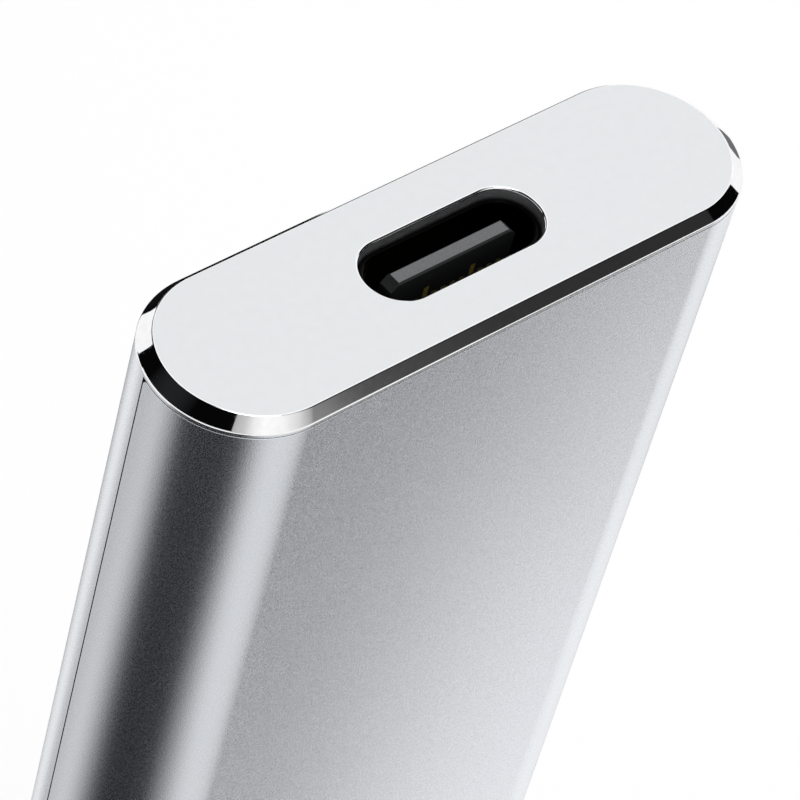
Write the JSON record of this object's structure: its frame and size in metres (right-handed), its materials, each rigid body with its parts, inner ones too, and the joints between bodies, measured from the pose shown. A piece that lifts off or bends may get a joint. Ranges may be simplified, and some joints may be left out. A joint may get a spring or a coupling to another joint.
{
  "type": "portable external solid-state drive",
  "caption": "Slim round-sided aluminium portable drive with a polished bevel at each end and a USB-C receptacle centred in one end wall.",
  "frame": {"origin": "centre of the plain end face, which the drive stands on", "axes": "+Z along the body to the port end, +X across the width, +Y from the front cover to the rear shell"},
  "size_m": [0.03, 0.0086, 0.092],
  "materials": {
    "satin_aluminium": "bead-blasted and clear anodised, with polished bevels",
    "dark_nickel": "drawn steel with a black nickel plating",
    "black_moulding": "moulded glass-filled polymer",
    "gold_contact": "gold-plated copper alloy",
    "plain_steel": "stamped stainless steel",
    "board_laminate": "glass-epoxy board with solder mask",
    "chip_moulding": "moulded epoxy package",
    "ceramic_part": "fired ceramic with tinned ends",
    "ferrite": "pressed ferrite",
    "thermal_pad": "soft filled silicone",
    "adhesive": "acrylic foam adhesive strip"
  },
  "bodies": {
    "root": {"rear_shell": "satin_aluminium", "front_cover": "satin_aluminium", "bond_strip_left": "adhesive", "bond_strip_right": "adhesive", "usb_shell": "dark_nickel", "usb_tongue": "black_moulding", "usb_contacts_front": "gold_contact", "usb_contacts_rear": "gold_contact", "usb_mid_plate": "plain_steel", "usb_ground_collar": "plain_steel", "circuit_board": "board_laminate", "board_screws": "plain_steel", "controller_chip": "chip_moulding", "flash_chip_1": "chip_moulding", "flash_chip_2": "chip_moulding", "flash_chip_3": "chip_moulding", "flash_chip_4": "chip_moulding", "config_memory": "chip_moulding", "crystal": "plain_steel", "input_fuse": "ceramic_part", "power_inductors": "ferrite", "regulators": "chip_moulding", "surge_arrays": "chip_moulding", "capacitors": "ceramic_part", "resistors": "ceramic_part", "flash_pad_front": "thermal_pad", "flash_pad_rear": "thermal_pad", "controller_pad": "thermal_pad"}
  },
  "joints": []
}
